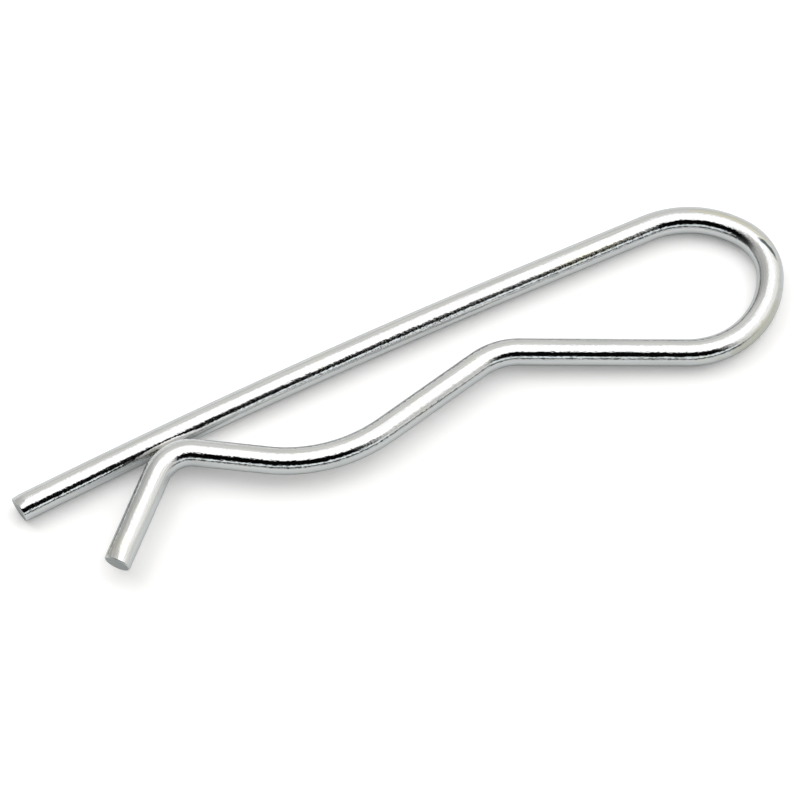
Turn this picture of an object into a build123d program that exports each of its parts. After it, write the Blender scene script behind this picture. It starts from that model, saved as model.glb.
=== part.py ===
from build123d import *
import os
from math import cos, degrees, radians, sin

# Hitch pin R clip, bent from one round spring wire.
# The wire is followed in the order a bending machine would make it: from the cut tip of the long
# leg, round the big loop, back along the shaped free leg, and out to the cut end of the lead-in.
# Lengths are in millimetres, angles in degrees. A positive bend turns left, seen from above.

# the wire
wire_diameter = 3.2

# long leg, which goes through the hole in the hitch pin
tip_length = 8.0            # straight stretch at the cut tip
bow_radius = 890.0          # the leg is very slightly bowed away from the free leg
bow_angle = 3.6
leg_length = 17.6           # straight stretch that runs into the loop

# loop, the spring of the clip: an egg shape in three bends
shoulder_radius = 12.0
shoulder_angle = 56.0
nose_radius = 6.5
nose_angle = 59.0
return_radius = 10.2
return_angle = 89.5         # nominal: the loop is closed until the crest stands crest_gap clear
crest_gap = 0.13            # clearance between the crest and the long leg

# free leg, which snaps round the outside of the hitch pin
run_length = 19.6           # straight run out of the loop, closing on the long leg
neck_radius = 7.9           # bend that starts the seat
neck_angle = 37.5
ramp_length = 13.8          # straight side of the seat
seat_radius = 19.0          # rounded far side of the seat
seat_angle = 43.5
rise_length = 8.4           # straight back up to the crest
crest_radius = 3.7          # first half of the crest, nearly touching the long leg
crest_angle = 27.0
lead_radius = 4.6           # second half of the crest, turning out into the lead-in
lead_angle = 48.0
lead_length = 11.6          # splayed lead-in that is pushed over the hitch pin

# the free leg stands a little out of the long leg's plane, so the crest rides on its flank
free_leg_lift_angle = 1.1

# cropped ends: neither cut is quite square, and each has a small rolled edge
tip_cut_skew = 7.0
lead_cut_skew = -3.0
end_edge_radius = 0.15


def feed(state, length):
    """A straight stretch of wire centreline, and the state at its far end."""
    here, ahead, up = state
    there = here + ahead * length
    return Edge.make_line(here, there), (there, ahead, up)


def bend(state, radius, angle):
    """A tangent arc in the current bending plane, and the state at its far end."""
    here, ahead, up = state
    side = up.cross(ahead) * (1 if angle > 0 else -1)
    centre = here + side * radius

    def on_arc(turn):
        return centre - side * (radius * cos(turn)) + ahead * (radius * sin(turn))

    turn = radians(abs(angle))
    arc = Edge.make_three_point_arc(here, on_arc(turn / 2), on_arc(turn))
    new_ahead = ahead * cos(turn) + side * sin(turn)
    return arc, (on_arc(turn), new_ahead, up)


def twist(state, angle):
    """Turn the bending plane about the wire's own direction; the wire itself stays smooth."""
    here, ahead, up = state
    return here, ahead, up.rotate(Axis((0, 0, 0), ahead), angle)


def follow(state, steps):
    """Carry out a list of feeds and bends, and return their edges and the last state."""
    edges = []
    for action, *sizes in steps:
        edge, state = action(state, *sizes)
        edges.append(edge)
    return edges, state


def centreline(last_loop_angle):
    """Every stretch of the wire's centreline, with the first and the last state."""
    heading = radians(bow_angle / 2)
    start = (
        Vector(0, 0, wire_diameter / 2),
        Vector(cos(heading), sin(heading), 0),
        Vector(0, 0, 1),
    )
    long_leg_and_shoulder = [
        (feed, tip_length),
        (bend, bow_radius, -bow_angle),
        (feed, leg_length),
        (bend, shoulder_radius, -shoulder_angle),
        (bend, nose_radius, -nose_angle),
    ]
    return_and_free_leg = [
        (bend, return_radius, -last_loop_angle),
        (feed, run_length),
        (bend, neck_radius, neck_angle),
        (feed, ramp_length),
        (bend, seat_radius, -seat_angle),
        (feed, rise_length),
        (bend, crest_radius, crest_angle),
        (bend, lead_radius, lead_angle),
        (feed, lead_length),
    ]
    first_edges, at_nose = follow(start, long_leg_and_shoulder)
    lifted = twist(at_nose, -free_leg_lift_angle)
    last_edges, end = follow(lifted, return_and_free_leg)
    return first_edges + last_edges, start, end


def closed_loop_angle():
    """The loop's last bend, corrected until the crest stands its gap from the long leg."""
    angle = return_angle
    for _ in range(12):
        edges = centreline(angle)[0]
        long_leg, crest = Wire(edges[:3]), Wire(edges[-3:-1])
        excess = long_leg.distance_to(crest) - wire_diameter - crest_gap
        angle += degrees(excess / long_leg.length)
    return angle


def crop_tool(state, outward, skew):
    """A block just beyond the cut at one end; its near face is the cut."""
    here, ahead, up = state
    normal = (ahead * outward).rotate(Axis((0, 0, 0), up), skew)
    cut_plane = Plane(origin=here, z_dir=normal)
    size = 4 * wire_diameter
    return cut_plane * Pos(0, 0, size / 2) * Box(size, size, size)


def clip_wire():
    """The whole clip as one solid, with both ends cropped."""
    edges, start, end = centreline(closed_loop_angle())
    spare = wire_diameter / 2
    first = Edge.make_line(start[0] - start[1] * spare, start[0])
    last = Edge.make_line(end[0], end[0] + end[1] * spare)
    path = Wire([first] + edges + [last])
    section = Plane(origin=first @ 0, z_dir=start[1]) * Circle(wire_diameter / 2)
    wire = sweep(section, path=path)
    wire -= crop_tool(start, -1, tip_cut_skew)
    wire -= crop_tool(end, 1, lead_cut_skew)
    cut_edges = [e for cut in wire.faces().filter_by(GeomType.PLANE) for e in cut.edges()]
    return fillet(cut_edges, end_edge_radius)


def rest_on_origin(shape):
    """Centre the footprint on the origin, with the lowest point of the wire at z = 0."""
    box = shape.bounding_box()
    middle = box.center()
    return Pos(-middle.X, -middle.Y, -box.min.Z) * shape


os.makedirs("parts", exist_ok=True)
export_step(rest_on_origin(clip_wire()), "parts/spring_wire.step")
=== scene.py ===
import math

import bpy
import numpy as np
from mathutils import Matrix, Vector


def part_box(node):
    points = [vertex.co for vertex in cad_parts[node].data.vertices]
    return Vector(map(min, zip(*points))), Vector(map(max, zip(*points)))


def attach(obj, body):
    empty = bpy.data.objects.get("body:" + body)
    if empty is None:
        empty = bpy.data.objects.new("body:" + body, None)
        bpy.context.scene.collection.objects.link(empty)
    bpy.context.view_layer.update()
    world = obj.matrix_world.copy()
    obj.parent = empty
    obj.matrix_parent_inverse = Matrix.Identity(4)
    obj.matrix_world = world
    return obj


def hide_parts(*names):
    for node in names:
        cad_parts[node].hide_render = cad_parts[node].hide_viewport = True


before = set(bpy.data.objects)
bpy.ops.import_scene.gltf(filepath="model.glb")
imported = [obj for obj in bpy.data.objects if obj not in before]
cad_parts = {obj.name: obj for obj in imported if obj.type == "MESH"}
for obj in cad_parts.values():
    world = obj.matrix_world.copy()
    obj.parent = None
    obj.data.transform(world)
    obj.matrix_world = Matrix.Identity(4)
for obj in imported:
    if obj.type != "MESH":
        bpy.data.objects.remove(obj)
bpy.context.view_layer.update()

# %% [markdown]
# # A hitch pin clip
# The real clip is one length of round spring wire, drawn, bent cold and plated with bright zinc.
# There is nothing to it but its line, its roundness and its finish, so the lesson is about three
# things: following a bent line exactly, giving a mirror-like metal the marks that drawing and
# plating leave, and lighting bright metal, which shows its surroundings more than itself.

# %% One unit for every size
MM = 0.001
scene = bpy.context.scene
clip_lo, clip_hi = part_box("spring_wire")
print("clip size in mm:", [round((hi - lo) / MM, 2) for lo, hi in zip(clip_lo, clip_hi)])

# %% [markdown]
# ## The line of the wire
# A bending machine knows three moves: feed straight wire, bend it round a roller, and turn the
# bending plane. The same three moves draw the middle line here, so every bend is a true arc and
# meets its neighbours without a kink. A curve drawn through points would wobble between them,
# and on bright metal the eye sees that at once in the reflections.

# %% The bending list
WIRE_RADIUS = 1.6 * MM
TIP = (-46.8266 * MM, 8.6033 * MM, WIRE_RADIUS)
BOW_ANGLE = 3.6
LIFT_ANGLE = 1.1
BENDS_TO_NOSE = [
    ("feed", 8.0), ("bend", 890.0, -BOW_ANGLE), ("feed", 17.6),
    ("bend", 12.0, -56.0), ("bend", 6.5, -59.0),
]
BENDS_TO_END = [
    ("bend", 10.2, -89.504), ("feed", 19.6), ("bend", 7.9, 37.5), ("feed", 13.8),
    ("bend", 19.0, -43.5), ("feed", 8.4), ("bend", 3.7, 27.0), ("bend", 4.6, 48.0),
    ("feed", 11.6),
]
print("moves:", len(BENDS_TO_NOSE) + len(BENDS_TO_END))

# %% [markdown]
# The line is kept as closely spaced stations. Each one holds a point, the way ahead and the upward
# side, so a ring can be set square on it later. Bends get a station every two degrees, or more
# often where they are wide, because a reflection shows the corner between two rings long before
# the outline does.

# %% A wire that is fed and bent
STRAIGHT_STEP = 0.40 * MM
BEND_STEP = math.radians(2.0)
LONGEST_BEND_STEP = 0.45 * MM


class Wire:
    """The middle line so far: points, directions, upward sides and distance run."""

    def __init__(self, start, heading):
        self.here = Vector(start)
        self.ahead = Vector((math.cos(heading), math.sin(heading), 0.0))
        self.up = Vector((0.0, 0.0, 1.0))
        self.rows = [(self.here.copy(), self.ahead.copy(), self.up.copy())]
        self.length = 0.0
        self.lengths = [0.0]

    def add(self, here, ahead, step):
        """Add one station."""
        self.length += step
        self.rows.append((here.copy(), ahead.copy(), self.up.copy()))
        self.lengths.append(self.length)

    def feed(self, length):
        """Push straight wire through."""
        count = max(1, math.ceil(length / STRAIGHT_STEP))
        for i in range(1, count + 1):
            self.add(self.here + self.ahead * (length * i / count), self.ahead, length / count)
        self.here = self.here + self.ahead * length

    def bend(self, radius, angle):
        """Bend to the left for a positive angle, to the right for a negative one."""
        side = self.up.cross(self.ahead) * (1 if angle > 0 else -1)
        centre = self.here + side * radius
        turn = math.radians(abs(angle))
        count = max(1, math.ceil(turn / BEND_STEP), math.ceil(turn * radius / LONGEST_BEND_STEP))
        start, ahead = self.here.copy(), self.ahead.copy()
        for i in range(1, count + 1):
            t = turn * i / count
            point = centre - side * (radius * math.cos(t)) + ahead * (radius * math.sin(t))
            self.add(point, ahead * math.cos(t) + side * math.sin(t), turn * radius / count)
        self.here = self.rows[-1][0].copy()
        self.ahead = self.rows[-1][1].copy()

    def turn_plane(self, angle):
        """Turn the bending plane about the wire."""
        self.up = Matrix.Rotation(math.radians(angle), 3, self.ahead) @ self.up


# %% [markdown]
# The wire starts at the cut tip of the long leg. The bending plane turns a little at the nose of
# the loop, so the shaped leg rises out of the long leg's plane and its crest can ride on the long
# leg's flank.

# %% Following the list


def follow(wire, moves):
    """Make the moves one after another."""
    for name, *sizes in moves:
        if name == "feed":
            wire.feed(sizes[0] * MM)
        else:
            wire.bend(sizes[0] * MM, sizes[1])


line = Wire(TIP, math.radians(BOW_ANGLE / 2))
follow(line, BENDS_TO_NOSE)
line.turn_plane(-LIFT_ANGLE)
follow(line, BENDS_TO_END)
print("wire length in mm:", round(line.length / MM, 2), "stations:", len(line.rows))

# %% [markdown]
# ## The skin of the wire
# Rings of points are set square to the line and joined into long quads. Each ring starts on the
# same side of the wire, so the rows of quads run straight along it, as the marks of the drawing
# die do. The unwrapped map is laid out to match: across the map is once round the wire, and up
# the map is along it.

# %% Rings along the line
AROUND = 64
TIP_CUT_SKEW = math.radians(7.0)
LEAD_CUT_SKEW = math.radians(-3.0)
EDGE_RADIUS = 0.15 * MM
EDGE_RINGS = 6
FACE_RINGS = 14

angles = np.linspace(0.0, 2.0 * math.pi, AROUND, endpoint=False)
ring_side = np.cos(angles)
ring_up = np.sin(angles)
print("ring spacing round the wire in mm:", round(2.0 * math.pi * WIRE_RADIUS / AROUND / MM, 3))

# %% [markdown]
# The cropping blade doesn't only cut: it drags the skin over the edge first, so the wire is a
# little flattened on the side where the blade came down. Each end has its own dent, given by how
# deep it is as a share of the radius, how far it reaches and which side it is on.

# %% Dents from the cropping blade
TIP_DENT = (0.12, 0.9 * MM, math.radians(62.0))
LEAD_DENT = (0.20, 1.7 * MM, math.radians(100.0))


def dented(radius, run):
    """The radius all round, less the dent of the nearer end."""
    depth, reach, turn = TIP_DENT if run < 0.5 * line.length else LEAD_DENT
    distance = min(run, line.length - run)
    share = max(0.0, 1.0 - distance / reach) ** 2
    return radius * (1.0 - depth * share * np.clip(np.cos(angles - turn), 0.0, 1.0) ** 2)


print("deepest dent in mm:", round(LEAD_DENT[0] * WIRE_RADIUS / MM, 2))

# %% [markdown]
# A ring is set square to the line, except on the cropped ends, where the cut isn't quite square:
# there each point is shifted along the wire by its place on the slope. The end rings run round the
# rolled edge and then in to the middle of the face.

# %% One ring, and the rings of a cropped end


def ring(row, run, radius, forward):
    """One ring of points; forward is each point's own shift along the wire."""
    radius = dented(radius, run)
    here, ahead, up = (np.array(v) for v in row)
    side = np.cross(up, ahead)
    return (
        here
        + np.outer(radius * ring_side, side)
        + np.outer(radius * ring_up, up)
        + np.outer(forward, ahead)
    )


def cap_rings(row, run, outward, skew):
    """Rings from the rolled edge in to the middle of a cropped end."""
    slope = -math.tan(skew)
    rings = []
    for k in range(EDGE_RINGS + 1):
        t = 0.5 * math.pi * k / EDGE_RINGS
        radius = WIRE_RADIUS - EDGE_RADIUS * (1.0 - math.cos(t))
        inset = EDGE_RADIUS * (1.0 - math.sin(t))
        rings.append(ring(row, run, radius, radius * ring_side * slope - outward * inset))
    flat = WIRE_RADIUS - EDGE_RADIUS
    for k in range(1, FACE_RINGS):
        radius = flat * (1.0 - k / FACE_RINGS)
        rings.append(ring(row, run, radius, radius * ring_side * slope))
    return rings


# %% [markdown]
# The square rings stop a little short of each end, so that they never cross the sloping ones.

# %% All rings from tip to lead-in
BODY_CLEAR = 0.45 * MM
body = [
    (row, run) for row, run in zip(line.rows, line.lengths)
    if BODY_CLEAR < run < line.length - BODY_CLEAR
]
tip_cap = cap_rings(line.rows[0], 0.0, -1.0, TIP_CUT_SKEW)
lead_cap = cap_rings(line.rows[-1], line.length, 1.0, LEAD_CUT_SKEW)
body_rings = [ring(row, run, WIRE_RADIUS, np.zeros(AROUND)) for row, run in body]
rings = tip_cap[::-1] + body_rings + lead_cap
runs = [0.0] * len(tip_cap) + [run for _, run in body] + [line.length] * len(lead_cap)
print("rings:", len(rings), "points:", len(rings) * AROUND)

# %% [markdown]
# Neighbouring rings are joined by quads, and the last ring at each end closes on one middle point.
# Smooth shading is enough here: the rolled edge has rings of its own, so no edge needs marking.

# %% The mesh
vertices = [tuple(p) for r in rings for p in r]
tip_centre = len(vertices)
lead_centre = tip_centre + 1
vertices.append(tuple(line.rows[0][0]))
vertices.append(tuple(line.rows[-1][0]))
faces = []
for low in range(0, (len(rings) - 1) * AROUND, AROUND):
    high = low + AROUND
    for a in range(AROUND):
        b = (a + 1) % AROUND
        faces.append((low + a, low + b, high + b, high + a))
last = (len(rings) - 1) * AROUND
for a in range(AROUND):
    b = (a + 1) % AROUND
    faces.append((tip_centre, b, a))
    faces.append((lead_centre, last + a, last + b))
mesh = bpy.data.meshes.new("spring_wire_skin")
mesh.from_pydata(vertices, [], faces)
mesh.update()
for polygon in mesh.polygons:
    polygon.use_smooth = True
wire_skin = bpy.data.objects.new("spring_wire_skin", mesh)
scene.collection.objects.link(wire_skin)
print("faces:", len(mesh.polygons))

# %% [markdown]
# ## Where each point sits on the wire
# Two things are written on the points. The place is where a point was on the straight wire
# before it was bent, in millimetres: across, up and along. The cut mark is 1 on the two cropped
# faces. The finish reads both, so its lines run along the wire through every bend.

# %% Place and cut mark
places = []
cuts = []
for index, run in enumerate(runs):
    depth = min(index, len(rings) - 1 - index)
    radius = WIRE_RADIUS * min(1.0, (depth + 1) / FACE_RINGS)
    places += [(radius * x / MM, radius * y / MM, run / MM) for x, y in zip(ring_side, ring_up)]
    cuts += [1.0 if depth < FACE_RINGS else 0.0] * AROUND
places += [(0.0, 0.0, 0.0), (0.0, 0.0, line.length / MM)]
cuts += [1.0, 1.0]
place_layer = mesh.attributes.new("wire_place", "FLOAT_VECTOR", "POINT")
place_layer.data.foreach_set("vector", [c for p in places for c in p])
cut_layer = mesh.attributes.new("cut_mark", "FLOAT", "POINT")
cut_layer.data.foreach_set("value", cuts)

# %% [markdown]
# ## The unwrapped map
# The wire's skin is a ribbon ten millimetres wide and nearly two hundred long. It is cut into
# four strips that lie side by side, with the two cropped ends as small discs beside them, so
# the map is close to square and nothing on it is squeezed.

# %% Strips and discs
STRIPS = 4
MAP_GAP = 0.5 * MM
girth = 2.0 * math.pi * WIRE_RADIUS
strip_length = line.length / STRIPS
disc_radius = WIRE_RADIUS - EDGE_RADIUS + 0.5 * math.pi * EDGE_RADIUS
map_side = STRIPS * (girth + MAP_GAP) + 2.0 * disc_radius + 2.0 * MAP_GAP
map_side = max(map_side, strip_length + 3.0 * MAP_GAP)
cap_count = len(tip_cap)
uv_layer = mesh.uv_layers.new(name="OFBake")
print("strip in mm:", round(girth / MM, 2), "by", round(strip_length / MM, 2))


def disc_centre(end):
    """Middle of a cropped end's disc on the map."""
    row = 1.0 if end == "tip" else 3.0
    return map_side - disc_radius - MAP_GAP, row * (disc_radius + MAP_GAP)


def disc_spot(ring_index, a, end):
    """Where a point of a cropped end lies on its disc."""
    depth = ring_index if end == "tip" else len(rings) - 1 - ring_index
    if depth < FACE_RINGS:
        radius = (WIRE_RADIUS - EDGE_RADIUS) * (depth + 1) / FACE_RINGS
    else:
        bend_part = (depth + 1 - FACE_RINGS) / EDGE_RINGS
        radius = WIRE_RADIUS - EDGE_RADIUS + 0.5 * math.pi * EDGE_RADIUS * bend_part
    centre_x, centre_y = disc_centre(end)
    turn = angles[a % AROUND]
    return centre_x + radius * math.cos(turn), centre_y + radius * math.sin(turn)


def strip_spot(run, a, strip):
    """Where a point of the wire's side lies on its strip."""
    x = MAP_GAP + strip * (girth + MAP_GAP) + girth * a / AROUND
    return x, MAP_GAP + run - strip * strip_length


def corner_spots(face_index):
    """Map corners of one quad, in the order its corners were made."""
    r, a = divmod(face_index, AROUND)
    corners = ((r, a), (r, a + 1), (r + 1, a + 1), (r + 1, a))
    if r < cap_count - 1:
        return [disc_spot(i, j, "tip") for i, j in corners]
    if r >= len(rings) - cap_count:
        return [disc_spot(i, j, "lead") for i, j in corners]
    strip = min(STRIPS - 1, int(0.5 * (runs[r] + runs[r + 1]) / strip_length))
    return [strip_spot(runs[i], j, strip) for i, j in corners]


# %% [markdown]
# The corners are written in the order in which the faces were made: all the quads, and then the
# two fans of triangles that close the ends.

# %% Writing the map
spots = []
for index in range((len(rings) - 1) * AROUND):
    spots += corner_spots(index)
last_ring = len(rings) - 1
for a in range(AROUND):
    spots += [disc_centre("tip"), disc_spot(0, a + 1, "tip"), disc_spot(0, a, "tip")]
    spots += [disc_centre("lead"), disc_spot(last_ring, a, "lead"), disc_spot(last_ring, a + 1, "lead")]
uv_layer.data.foreach_set("uv", [c / map_side for spot in spots for c in spot])
print("map side in mm:", round(map_side / MM, 2))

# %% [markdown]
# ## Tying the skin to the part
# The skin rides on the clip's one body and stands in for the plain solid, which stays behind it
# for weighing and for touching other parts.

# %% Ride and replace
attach(wire_skin, "root")
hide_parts("spring_wire")

# %% [markdown]
# ## Building finishes
# A finish is a small circuit of nodes. These helpers add a node, set its sockets and join it up,
# so that each finish below reads as a short list of steps.

# %% Helpers for node circuits


def put(tree, kind, inputs=None, **settings):
    """Add a node, set its options, then fill or link its inputs."""
    node = tree.nodes.new(kind)
    for name, value in settings.items():
        setattr(node, name, value)
    for key, value in (inputs or {}).items():
        socket = node.inputs[key]
        if isinstance(value, bpy.types.NodeSocket):
            tree.links.new(value, socket)
        else:
            socket.default_value = value
    return node


def calc(tree, operation, a, b=0.0):
    """One sum."""
    return put(tree, "ShaderNodeMath", {0: a, 1: b}, operation=operation).outputs[0]


def add_share(tree, total, mask, share):
    """Add a share of a mask to a running total."""
    return calc(tree, "ADD", total, calc(tree, "MULTIPLY", mask, share))


def wrapped(tree, angle):
    """An angle in degrees, brought between -180 and 180."""
    inputs = {0: angle, 1: 180.0, 2: -180.0}
    return put(tree, "ShaderNodeMath", inputs, operation="WRAP").outputs[0]


def fade(tree, value, low, high, to_low=0.0, to_high=1.0):
    """Smoothly carry a value from one span to another."""
    inputs = {"Value": value, "From Min": low, "From Max": high, "To Min": to_low, "To Max": to_high}
    return put(tree, "ShaderNodeMapRange", inputs, interpolation_type="SMOOTHSTEP").outputs["Result"]


def blend(tree, factor, a, b):
    """Mix two colours."""
    node = put(tree, "ShaderNodeMix", {0: factor}, data_type="RGBA")
    for index, value in ((6, a), (7, b)):
        if isinstance(value, bpy.types.NodeSocket):
            tree.links.new(value, node.inputs[index])
        else:
            node.inputs[index].default_value = value
    return node.outputs[2]


# %% [markdown]
# An effect is a node group: it takes the place on the wire and a few sizes, and gives one value
# back. The material then uses the same group several times, each with its own sizes.

# %% Helper for node groups


def new_group(name, sizes, result):
    """A group that takes the place and the named sizes, and gives one value."""
    group = bpy.data.node_groups.new(name, "ShaderNodeTree")
    group.interface.new_socket(name="Place", in_out="INPUT", socket_type="NodeSocketVector")
    for label in sizes:
        group.interface.new_socket(name=label, in_out="INPUT", socket_type="NodeSocketFloat")
    group.interface.new_socket(name=result, in_out="OUTPUT", socket_type="NodeSocketFloat")
    takes = group.nodes.new("NodeGroupInput").outputs
    gives = group.nodes.new("NodeGroupOutput").inputs
    return group, takes, gives


# %% [markdown]
# ## Marks of the drawing die
# Wire is pulled through a hard ring, and every rough spot on the ring ploughs a line down its
# whole length. Noise that is stretched far along the wire and left fine across it gives the same
# thing: bundles of hair lines that start, fade and start again.

# %% Group: drawn lines
drawn, drawn_in, drawn_out = new_group("drawn lines", ("Line width", "Stretch", "Detail"), "Height")
squash = put(drawn, "ShaderNodeCombineXYZ", {
    0: 1.0, 1: 1.0, 2: calc(drawn, "DIVIDE", 1.0, drawn_in["Stretch"]),
})
squashed = put(drawn, "ShaderNodeVectorMath", {
    0: drawn_in["Place"], 1: squash.outputs[0],
}, operation="MULTIPLY")
lines = put(drawn, "ShaderNodeTexNoise", {
    "Vector": squashed.outputs[0], "Scale": calc(drawn, "DIVIDE", 0.5, drawn_in["Line width"]),
    "Detail": drawn_in["Detail"], "Roughness": 0.5,
})
drawn.links.new(lines.outputs["Fac"], drawn_out["Height"])
print("drawn lines:", len(drawn.nodes), "nodes")

# %% [markdown]
# ## Specks and pits
# Barrel plating leaves a few pinholes and grains of dirt. Each cell of a cell pattern gets at
# most one dot near its middle, and most cells get none.

# %% Group: specks
DOT_CORE = 0.6
specks, specks_in, specks_out = new_group("specks", ("Spacing", "Size", "Share"), "Mask")
cells = put(specks, "ShaderNodeTexVoronoi", {
    "Vector": specks_in["Place"], "Scale": calc(specks, "DIVIDE", 1.0, specks_in["Spacing"]),
})
cell_colour = put(specks, "ShaderNodeSeparateColor", {0: cells.outputs["Color"]})
chosen = calc(specks, "LESS_THAN", cell_colour.outputs[0], specks_in["Share"])
dot_size = calc(specks, "DIVIDE", specks_in["Size"], specks_in["Spacing"])
from_middle = calc(specks, "DIVIDE", cells.outputs["Distance"], dot_size)
dot = fade(specks, from_middle, DOT_CORE, 1.0, 1.0, 0.0)
specks.links.new(calc(specks, "MULTIPLY", dot, chosen), specks_out["Mask"])
print("specks:", len(specks.nodes), "nodes")

# %% [markdown]
# ## Local marks
# Some marks belong to one place: the nick that the bending roller left on the loop, with painted shade
# in it, where the plating thinned and where the passivation pooled. Such a mark is an oval on the skin,
# given by how far along the wire and how far round it lies. Noise frays its edge.

# %% Group: local mark
MARK_CORE = 0.35
FRAY_SCALE = 1.1
mark, mark_in, mark_out = new_group(
    "local mark", ("Run", "Turn", "Slant", "Half length", "Half width", "Fray"), "Mask")
across, upward, along_wire = put(mark, "ShaderNodeSeparateXYZ", {0: mark_in["Place"]}).outputs
turned = calc(mark, "MULTIPLY", calc(mark, "ARCTAN2", upward, across), math.degrees(1.0))
onward = calc(mark, "SUBTRACT", along_wire, mark_in["Run"])
centre_turn = calc(mark, "ADD", mark_in["Turn"], calc(mark, "MULTIPLY", onward, mark_in["Slant"]))
aside = wrapped(mark, calc(mark, "SUBTRACT", turned, centre_turn))
aside = calc(mark, "MULTIPLY", aside, math.radians(WIRE_RADIUS / MM))
aside = calc(mark, "DIVIDE", aside, mark_in["Half width"])
onward = calc(mark, "DIVIDE", onward, mark_in["Half length"])
squares = calc(mark, "ADD", calc(mark, "MULTIPLY", aside, aside), calc(mark, "MULTIPLY", onward, onward))
frayed = put(mark, "ShaderNodeTexNoise", {
    "Vector": mark_in["Place"], "Scale": FRAY_SCALE, "Detail": 3.0,
})
fray = calc(mark, "MULTIPLY", calc(mark, "SUBTRACT", frayed.outputs["Fac"], 0.5), mark_in["Fray"])
spread = calc(mark, "ADD", calc(mark, "SQRT", squares), fray)
mark.links.new(fade(mark, spread, MARK_CORE, 1.0, 1.0, 0.0), mark_out["Mask"])
print("local mark:", len(mark.nodes), "nodes")

# %% [markdown]
# ## Bright zinc
# Zinc plate is a blue-white metal, brighter and softer than chrome. It is smooth enough to mirror
# a lamp with a sharp edge, but the drawn lines under it break that edge into fine threads. The
# clear passivation leaves a faint straw tint in places, and the cropped ends are duller, torn
# rather than polished.

# %% Material: bright zinc
zinc = bpy.data.materials.new("bright_zinc")
zinc.use_nodes = True
tree = zinc.node_tree
shader = tree.nodes["Principled BSDF"]
place = put(tree, "ShaderNodeAttribute", attribute_name="wire_place").outputs["Vector"]
cut = put(tree, "ShaderNodeAttribute", attribute_name="cut_mark").outputs["Fac"]


def use(group, **sizes):
    """Place a group in the material, with its own sizes."""
    node = tree.nodes.new("ShaderNodeGroup")
    node.node_tree = group
    tree.links.new(place, node.inputs["Place"])
    for label, value in sizes.items():
        node.inputs[label.replace("_", " ")].default_value = value
    return node.outputs[0]


# %% [markdown]
# The all-over marks come first. Hair lines and broader bands are the die's, drawn out sixty and
# forty-five times along the wire. The peel is the plate's own: deposited zinc is slightly lumpy,
# and lumps a tenth of a millimetre wide are what make the edge of a reflection ragged.

# %% All-over marks
hair = use(drawn, Line_width=0.060, Stretch=60.0, Detail=2.0)
bands = use(drawn, Line_width=0.22, Stretch=45.0, Detail=0.5)
peel = use(drawn, Line_width=0.120, Stretch=1.5, Detail=2.2)
pits = use(specks, Spacing=2.6, Size=0.16, Share=0.10)
clouds = put(tree, "ShaderNodeTexNoise", {"Vector": place, "Scale": 0.22, "Detail": 2.0}).outputs["Fac"]
torn = put(tree, "ShaderNodeTexNoise", {"Vector": place, "Scale": 5.0, "Detail": 5.0}).outputs["Fac"]

# %% [markdown]
# Then the marks that belong to one place. Run is in millimetres from the cut tip of the long leg, and
# turn is in degrees round the wire, with 90 on top. The loop carries the roller's nick, with painted
# shade in it, and most of the stains, and the lead-in is satin where it was gripped for the last bend.

# %% Marks in one place
# The first mark is the roller's nick on the loop; the near-black blue laid on it below is painted shade
# in the nick.
ROLLER_NICK_AND_SHADE = dict(Run=97.0, Turn=73.0, Slant=-9.0, Half_length=2.2, Half_width=0.26, Fray=1.6)
OUTER_STAIN = dict(Run=107.0, Turn=30.0, Slant=-2.0, Half_length=7.0, Half_width=0.9, Fray=1.4)
LEG_STAIN = dict(Run=73.0, Turn=124.0, Slant=0.0, Half_length=8.0, Half_width=0.45, Fray=1.4)
LOOP_STAIN = dict(Run=92.0, Turn=72.0, Slant=0.0, Half_length=8.0, Half_width=0.5, Fray=1.2)
LOOP_GRAIN = dict(Run=100.0, Turn=110.0, Slant=0.0, Half_length=8.0, Half_width=1.6, Fray=1.0)
LEAD_GRAIN = dict(Run=189.0, Turn=90.0, Slant=0.0, Half_length=11.0, Half_width=2.6, Fray=0.8)
nick_and_shade, outer_stain, leg_stain, loop_stain, loop_grain, lead_grain = (
    use(mark, **sizes)
    for sizes in (ROLLER_NICK_AND_SHADE, OUTER_STAIN, LEG_STAIN, LOOP_STAIN, LOOP_GRAIN, LEAD_GRAIN)
)

# %% [markdown]
# Zinc reflects about four fifths of the light, a touch less in the scratches. Each tint is laid
# over the last by its mask, and the torn ends come last because nothing covers them.

# %% Colour
ZINC = (0.814, 0.812, 0.818, 1.0)
ZINC_DEEP = (0.700, 0.704, 0.712, 1.0)
STRAW = (0.790, 0.770, 0.640, 1.0)
SPECK = (0.230, 0.210, 0.180, 1.0)
# Painted shade for the roller's nick: a near-black blue, not a colour of the zinc.
PAINTED_NICK_SHADE = (0.035, 0.070, 0.100, 1.0)
OLIVE = (0.560, 0.540, 0.360, 1.0)
TORN_STEEL = (0.440, 0.450, 0.455, 1.0)
colour = blend(tree, fade(tree, hair, 0.35, 0.70), ZINC, ZINC_DEEP)
colour = blend(tree, fade(tree, clouds, 0.58, 0.74, 0.0, 0.35), colour, STRAW)
# The last of these masks lays painted shade, a near-black blue, into the roller's nick.
for stain, strength, tint in (
    (leg_stain, 0.75, STRAW), (loop_stain, 0.75, STRAW), (outer_stain, 0.45, OLIVE),
    (nick_and_shade, 0.90, PAINTED_NICK_SHADE),
):
    colour = blend(tree, calc(tree, "MULTIPLY", stain, strength), colour, tint)
colour = blend(tree, pits, colour, SPECK)
colour = blend(tree, cut, colour, TORN_STEEL)
tree.links.new(colour, shader.inputs["Base Color"])
shader.inputs["Metallic"].default_value = 1.0

# %% [markdown]
# The plate is nearly a mirror. Each dull patch adds its own share of roughness, so they can overlap.

# %% Roughness
rough = fade(tree, bands, 0.3, 0.7, 0.020, 0.045)
for patch, share in (
    (pits, 0.35), (loop_grain, 0.16), (lead_grain, 0.14), (outer_stain, 0.12), (cut, 0.28),
):
    rough = add_share(tree, rough, patch, share)
tree.links.new(rough, shader.inputs["Roughness"])

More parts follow.
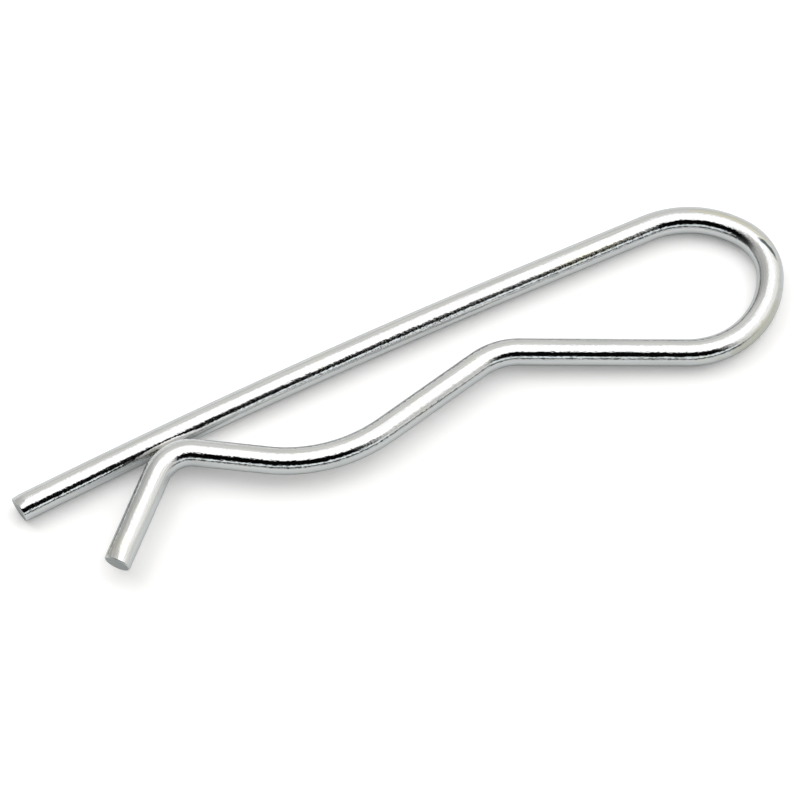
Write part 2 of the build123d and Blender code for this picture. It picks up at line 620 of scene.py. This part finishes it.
# %% [markdown]
# The heights are in steps of a couple of microns. On a mirror that is plenty: a tilt of one degree
# already moves a reflection by two. The torn ends are thirty steps rough.

# %% Relief
HEIGHT_STEP = 0.0022 * MM
plate_height = calc(tree, "MULTIPLY", hair, 0.25)
for relief, steps in ((bands, 1.5), (peel, 9.0), (pits, -4.0)):
    plate_height = add_share(tree, plate_height, relief, steps)
torn_height = calc(tree, "MULTIPLY", torn, 30.0)
height = put(tree, "ShaderNodeMix", {0: cut, 2: plate_height, 3: torn_height}).outputs[0]
bump = put(tree, "ShaderNodeBump", {"Strength": 1.0, "Distance": HEIGHT_STEP, "Height": height})
tree.links.new(bump.outputs["Normal"], shader.inputs["Normal"])
mesh.materials.append(zinc)
print("zinc nodes:", len(tree.nodes))

# %% [markdown]
# ## The camera
# The clip is seen from above and from the front left, from far enough that its wire keeps almost
# the same width from end to end.

# %% Camera
CAMERA_SPOT = (-0.07102, -0.13771, 0.35080)
AIM_SPOT = (-0.00129, 0.00205, 0.0)
LENS = 147.97
SENSOR = 36.0
camera_data = bpy.data.cameras.new("camera")
camera = bpy.data.objects.new("camera", camera_data)
scene.collection.objects.link(camera)
scene.camera = camera
camera_data.sensor_width = SENSOR
camera_data.lens = LENS
camera_data.clip_start = 0.01
camera_data.clip_end = 20.0
line_of_sight = Vector(AIM_SPOT) - Vector(CAMERA_SPOT)
camera.location = CAMERA_SPOT
camera.rotation_euler = line_of_sight.to_track_quat("-Z", "Y").to_euler()
print("camera distance in mm:", round(line_of_sight.length / MM))

# %% [markdown]
# ## The table
# A sheet of white paper, wide enough that its edge never shows, on the wire or in the view.

# %% White sheet
SHEET_HALF = 2.5
SHEET_CORNERS = ((-1, -1), (1, -1), (1, 1), (-1, 1))
floor_mesh = bpy.data.meshes.new("white_sheet")
floor_mesh.from_pydata(
    [(SHEET_HALF * x, SHEET_HALF * y, 0.0) for x, y in SHEET_CORNERS], [], [(0, 1, 2, 3)])
floor = bpy.data.objects.new("white_sheet", floor_mesh)
scene.collection.objects.link(floor)
print("sheet side in m:", 2.0 * SHEET_HALF)

# %% [markdown]
# The paper is a little darker where the wire mirrors it than where it is seen directly. A wire
# this close to the sheet mirrors its own shadow too, and it needs the contrast. A little glow for
# the camera alone lifts the open sheet to white and leaves the shadows on it.

# %% White paper
PAPER_LOW = (0.905, 0.896, 0.896, 1.0)
PAPER_HIGH = (0.925, 0.916, 0.916, 1.0)
PAPER_IN_METAL = (0.655, 0.678, 0.676, 1.0)
PAPER_GLOW = 0.17
paper = bpy.data.materials.new("white_paper")
paper.use_nodes = True
tree = paper.node_tree
paper_shader = tree.nodes["Principled BSDF"]
rays = put(tree, "ShaderNodeLightPath").outputs
grain = put(tree, "ShaderNodeTexNoise", {"Scale": 900.0, "Detail": 2.0}).outputs["Fac"]
paper_colour = blend(tree, grain, PAPER_LOW, PAPER_HIGH)
paper_colour = blend(tree, rays["Is Glossy Ray"], paper_colour, PAPER_IN_METAL)
tree.links.new(paper_colour, paper_shader.inputs["Base Color"])
tree.links.new(rays["Is Camera Ray"], paper_shader.inputs["Emission Color"])
paper_shader.inputs["Roughness"].default_value = 0.9
paper_shader.inputs["Specular IOR Level"].default_value = 0.1
paper_shader.inputs["Emission Strength"].default_value = PAPER_GLOW
floor_mesh.materials.append(paper)

# %% [markdown]
# ## The room
# Bright metal shows the room, so the room is painted on the sky all round, as seen from the clip:
# a big soft panel lamp overhead, pale walls behind and to the right, a grey wall to the left, and
# the unlit front of the room with the pale edge of the table below it. Each part is painted over
# the ones before it. Angles are in degrees: bearings go clockwise from straight behind the clip,
# as the camera sees it, and heights go up from the table.

# %% Looking round the room
away = Vector((line_of_sight.x, line_of_sight.y, 0.0)).normalized()
right = away.cross(Vector((0.0, 0.0, 1.0)))
world = bpy.data.worlds.new("room")
scene.world = world
world.use_nodes = True
tree = world.node_tree
tree.nodes.clear()
way = put(tree, "ShaderNodeTexCoord").outputs["Generated"]


def along(direction):
    """How far the way looked runs in one direction."""
    product = put(tree, "ShaderNodeVectorMath", {0: way, 1: direction}, operation="DOT_PRODUCT")
    return product.outputs["Value"]


up_part = put(tree, "ShaderNodeSeparateXYZ", {0: way}).outputs["Z"]
height_angle = calc(tree, "MULTIPLY", calc(tree, "ARCSINE", up_part), math.degrees(1.0))
bearing = calc(tree, "MULTIPLY", calc(tree, "ARCTAN2", along(right), along(away)), math.degrees(1.0))


# %% [markdown]
# Each patch of the room is a mask made of two soft limits, one in bearing and one in height. The
# softness is in degrees too: a hard-edged patch would draw a line on the wire as thin as a hair.

# %% Masks for the patches


def above(value, limit, soft):
    """0 below a limit and 1 above it, with a soft edge."""
    return fade(tree, value, limit - soft, limit + soft)


def below(value, limit, soft):
    """1 below a limit and 0 above it, with a soft edge."""
    return fade(tree, value, limit - soft, limit + soft, 1.0, 0.0)


def between(value, low, high, soft):
    """1 between two limits, with soft edges."""
    return calc(tree, "MULTIPLY", above(value, low, soft), below(value, high, soft))


def facing(middle, half, soft):
    """1 for bearings near the middle one."""
    offset = wrapped(tree, calc(tree, "SUBTRACT", bearing, middle))
    return below(calc(tree, "ABSOLUTE", offset), half, soft)


def patch_of(bearings, heights):
    """A patch limited in bearing (middle, half, soft) and in height (low, high, soft)."""
    return calc(tree, "MULTIPLY", facing(*bearings), between(height_angle, *heights))


def shaded(colour, low_angle, low_share, high_angle, high_share):
    """A colour that is brighter or darker higher up."""
    level = fade(tree, height_angle, low_angle, high_angle, low_share, high_share)
    return put(tree, "ShaderNodeVectorMath", {0: colour, "Scale": level}, operation="SCALE").outputs[0]


# %% [markdown]
# The walls are slightly warm, and their light grows with height, because the lamp is overhead: each
# wall's light is given as a low angle and its share, then a high angle and its share. The unlit
# front is what makes the black band along the wire. Under it the pale edge of the table and the
# dark below that edge make the fine pair of lines beside the band.

# %% Painting the walls and the front
WARM_WALL = (1.00, 1.00, 0.96)
REAR_WALL_LIGHT = (0.0, 0.66, 50.0, 0.79)
SIDE_WALLS = {
    "right wall": ((72.0, 38.0, 18.0), (0.0, 0.72, 50.0, 1.10)),
    "left wall": ((-75.0, 40.0, 14.0), (0.0, 0.42, 70.0, 0.64)),
}
PATCHES = {
    "dark corner": ((-128.0, 24.0, 16.0), (-10.0, 54.0, 10.0), (0.030, 0.030, 0.030, 1.0)),
    "unlit front": ((-178.0, 52.0, 12.0), (25.0, 85.0, 2.5), (0.002, 0.002, 0.002, 1.0)),
    "table edge": ((170.0, 42.0, 8.0), (14.0, 25.0, 2.0), (0.880, 0.950, 0.960, 1.0)),
    "below the edge": ((178.0, 58.0, 14.0), (2.0, 13.0, 2.0), (0.070, 0.075, 0.075, 1.0)),
}
picture = shaded(WARM_WALL, *REAR_WALL_LIGHT)
for bearings, light in SIDE_WALLS.values():
    picture = blend(tree, facing(*bearings), picture, shaded(WARM_WALL, *light))
for bearings, heights, paint in PATCHES.values():
    picture = blend(tree, patch_of(bearings, heights), picture, paint)
print("patches:", ", ".join(PATCHES))

# %% [markdown]
# The lamp is a flat panel above the table. Where its edges lie follows from how far off they are
# for each unit of height: its left edge is nearly overhead, its right and rear edges are well out.

# %% Panel lamp overhead
PANEL_LEFT, PANEL_RIGHT, PANEL_SIDE_SOFT = -0.27, 0.80, 0.13
PANEL_FRONT, PANEL_FRONT_SOFT = -0.41, 0.04
PANEL_BACK, PANEL_BACK_SOFT = 0.75, 0.22
PANEL_PAINT = (1.40, 1.40, 1.40, 1.0)
LEAST_RISE = 0.05
height_ratio = calc(tree, "MAXIMUM", up_part, LEAST_RISE)
across_ratio = calc(tree, "DIVIDE", along(right), height_ratio)
depth_ratio = calc(tree, "DIVIDE", along(away), height_ratio)
within_sides = between(across_ratio, PANEL_LEFT, PANEL_RIGHT, PANEL_SIDE_SOFT)
within_depth = calc(
    tree, "MULTIPLY",
    above(depth_ratio, PANEL_FRONT, PANEL_FRONT_SOFT), below(depth_ratio, PANEL_BACK, PANEL_BACK_SOFT),
)
picture = blend(tree, calc(tree, "MULTIPLY", within_sides, within_depth), picture, PANEL_PAINT)

# %% [markdown]
# The camera itself sees plain white past the sheet. Everything else, the metal first of all, sees
# the painted room.

# %% White for the camera, the room for the metal
WHITE = (1.0, 1.0, 1.0, 1.0)
room_light = put(tree, "ShaderNodeBackground", {"Color": picture, "Strength": 1.0})
seen_white = put(tree, "ShaderNodeBackground", {"Color": WHITE, "Strength": 1.0})
camera_ray = put(tree, "ShaderNodeLightPath").outputs["Is Camera Ray"]
sky = put(tree, "ShaderNodeMixShader", {
    0: camera_ray, 1: room_light.outputs[0], 2: seen_white.outputs[0],
})
put(tree, "ShaderNodeOutputWorld", {"Surface": sky.outputs[0]})
print("room nodes:", len(tree.nodes))

# %% [markdown]
# Two softboxes stand left and right, a little behind the clip and close to it, so the shadows fall
# forwards and inwards. The left one is the stronger: it lengthens the shadow of the long leg. The
# metal mirrors the painted room already, so the softboxes are hidden from it.

# %% Softboxes left and right
SOFTBOX_DISTANCE = 0.26
SOFTBOX_SIZE = 0.22
SOFTBOXES = {"softbox_left": (-48.0, 44.0, 0.32), "softbox_right": (56.0, 60.0, 0.12)}
for name, (bearing_angle, rise_angle, power) in SOFTBOXES.items():
    turn, rise = math.radians(bearing_angle), math.radians(rise_angle)
    level = away * math.cos(turn) + right * math.sin(turn)
    towards = level * math.cos(rise) + Vector((0.0, 0.0, math.sin(rise)))
    lamp_data = bpy.data.lights.new(name, "AREA")
    lamp_data.shape = "SQUARE"
    lamp_data.size = SOFTBOX_SIZE
    lamp_data.energy = power
    lamp = bpy.data.objects.new(name, lamp_data)
    scene.collection.objects.link(lamp)
    lamp.location = towards * SOFTBOX_DISTANCE
    lamp.rotation_euler = towards.to_track_quat("Z", "Y").to_euler()
    lamp.visible_glossy = False
    print(name, "stands at", [round(c, 3) for c in lamp.location])

# %% [markdown]
# ## View
# The plain view keeps a colour as it was written.

# %% View settings
scene.view_settings.view_transform = "Standard"
